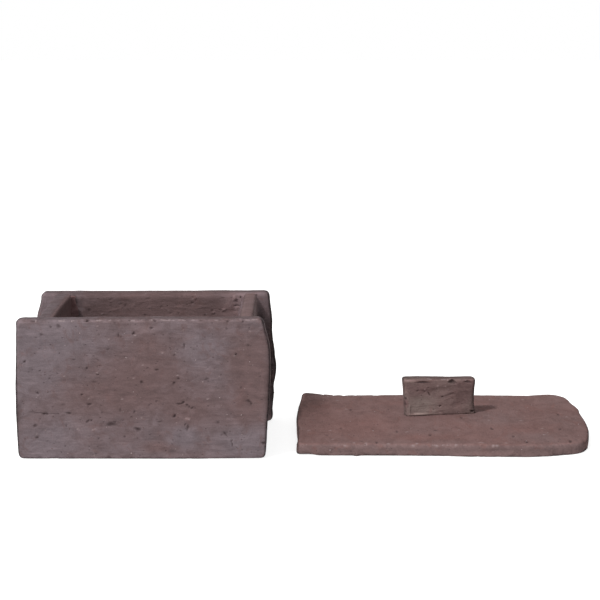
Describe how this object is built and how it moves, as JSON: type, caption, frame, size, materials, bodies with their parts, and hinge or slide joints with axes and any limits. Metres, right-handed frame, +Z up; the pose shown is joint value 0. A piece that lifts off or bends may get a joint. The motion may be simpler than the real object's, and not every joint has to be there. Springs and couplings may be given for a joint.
{
  "type": "lidded ceramic box",
  "caption": "Slab-built unglazed stoneware box with open end recesses, and its loose slab lid with an upright tab knob lying beside it.",
  "frame": {"origin": "middle of the box's base, on the table that the box and its lid stand on", "axes": "+X to the right along the front slab towards the lid, +Y from the front slab to the back slab, +Z up"},
  "size_m": [0.475, 0.1467, 0.117],
  "materials": {
    "box_clay": "unglazed, matte, coarse grogged stoneware, dark red-brown with grey and purple patches",
    "seam_clay": "unglazed, matte, finger-pressed stoneware, slightly darker than the slabs",
    "lid_clay": "unglazed, matte, coarse grogged stoneware, redder than the box",
    "knob_clay": "unglazed, matte stoneware, darker and smoother than the lid"
  },
  "bodies": {
    "box": {"floor_slab": "box_clay", "front_slab": "box_clay", "back_slab": "box_clay", "left_wall": "box_clay", "right_wall": "box_clay", "floor_coil_front": "seam_clay", "floor_coil_right": "seam_clay", "floor_coil_back": "seam_clay", "floor_coil_left": "seam_clay", "corner_coil_front_left": "seam_clay", "corner_coil_front_right": "seam_clay", "corner_coil_back_right": "seam_clay", "corner_coil_back_left": "seam_clay"},
    "lid": {"lid_slab": "lid_clay", "lid_knob": "knob_clay"}
  },
  "joints": [
    {"name": "lid_lift", "type": "slide", "parent": "box", "child": "lid", "axis": [0, 0, 1], "range_m": [0, 0.15]}
  ]
}
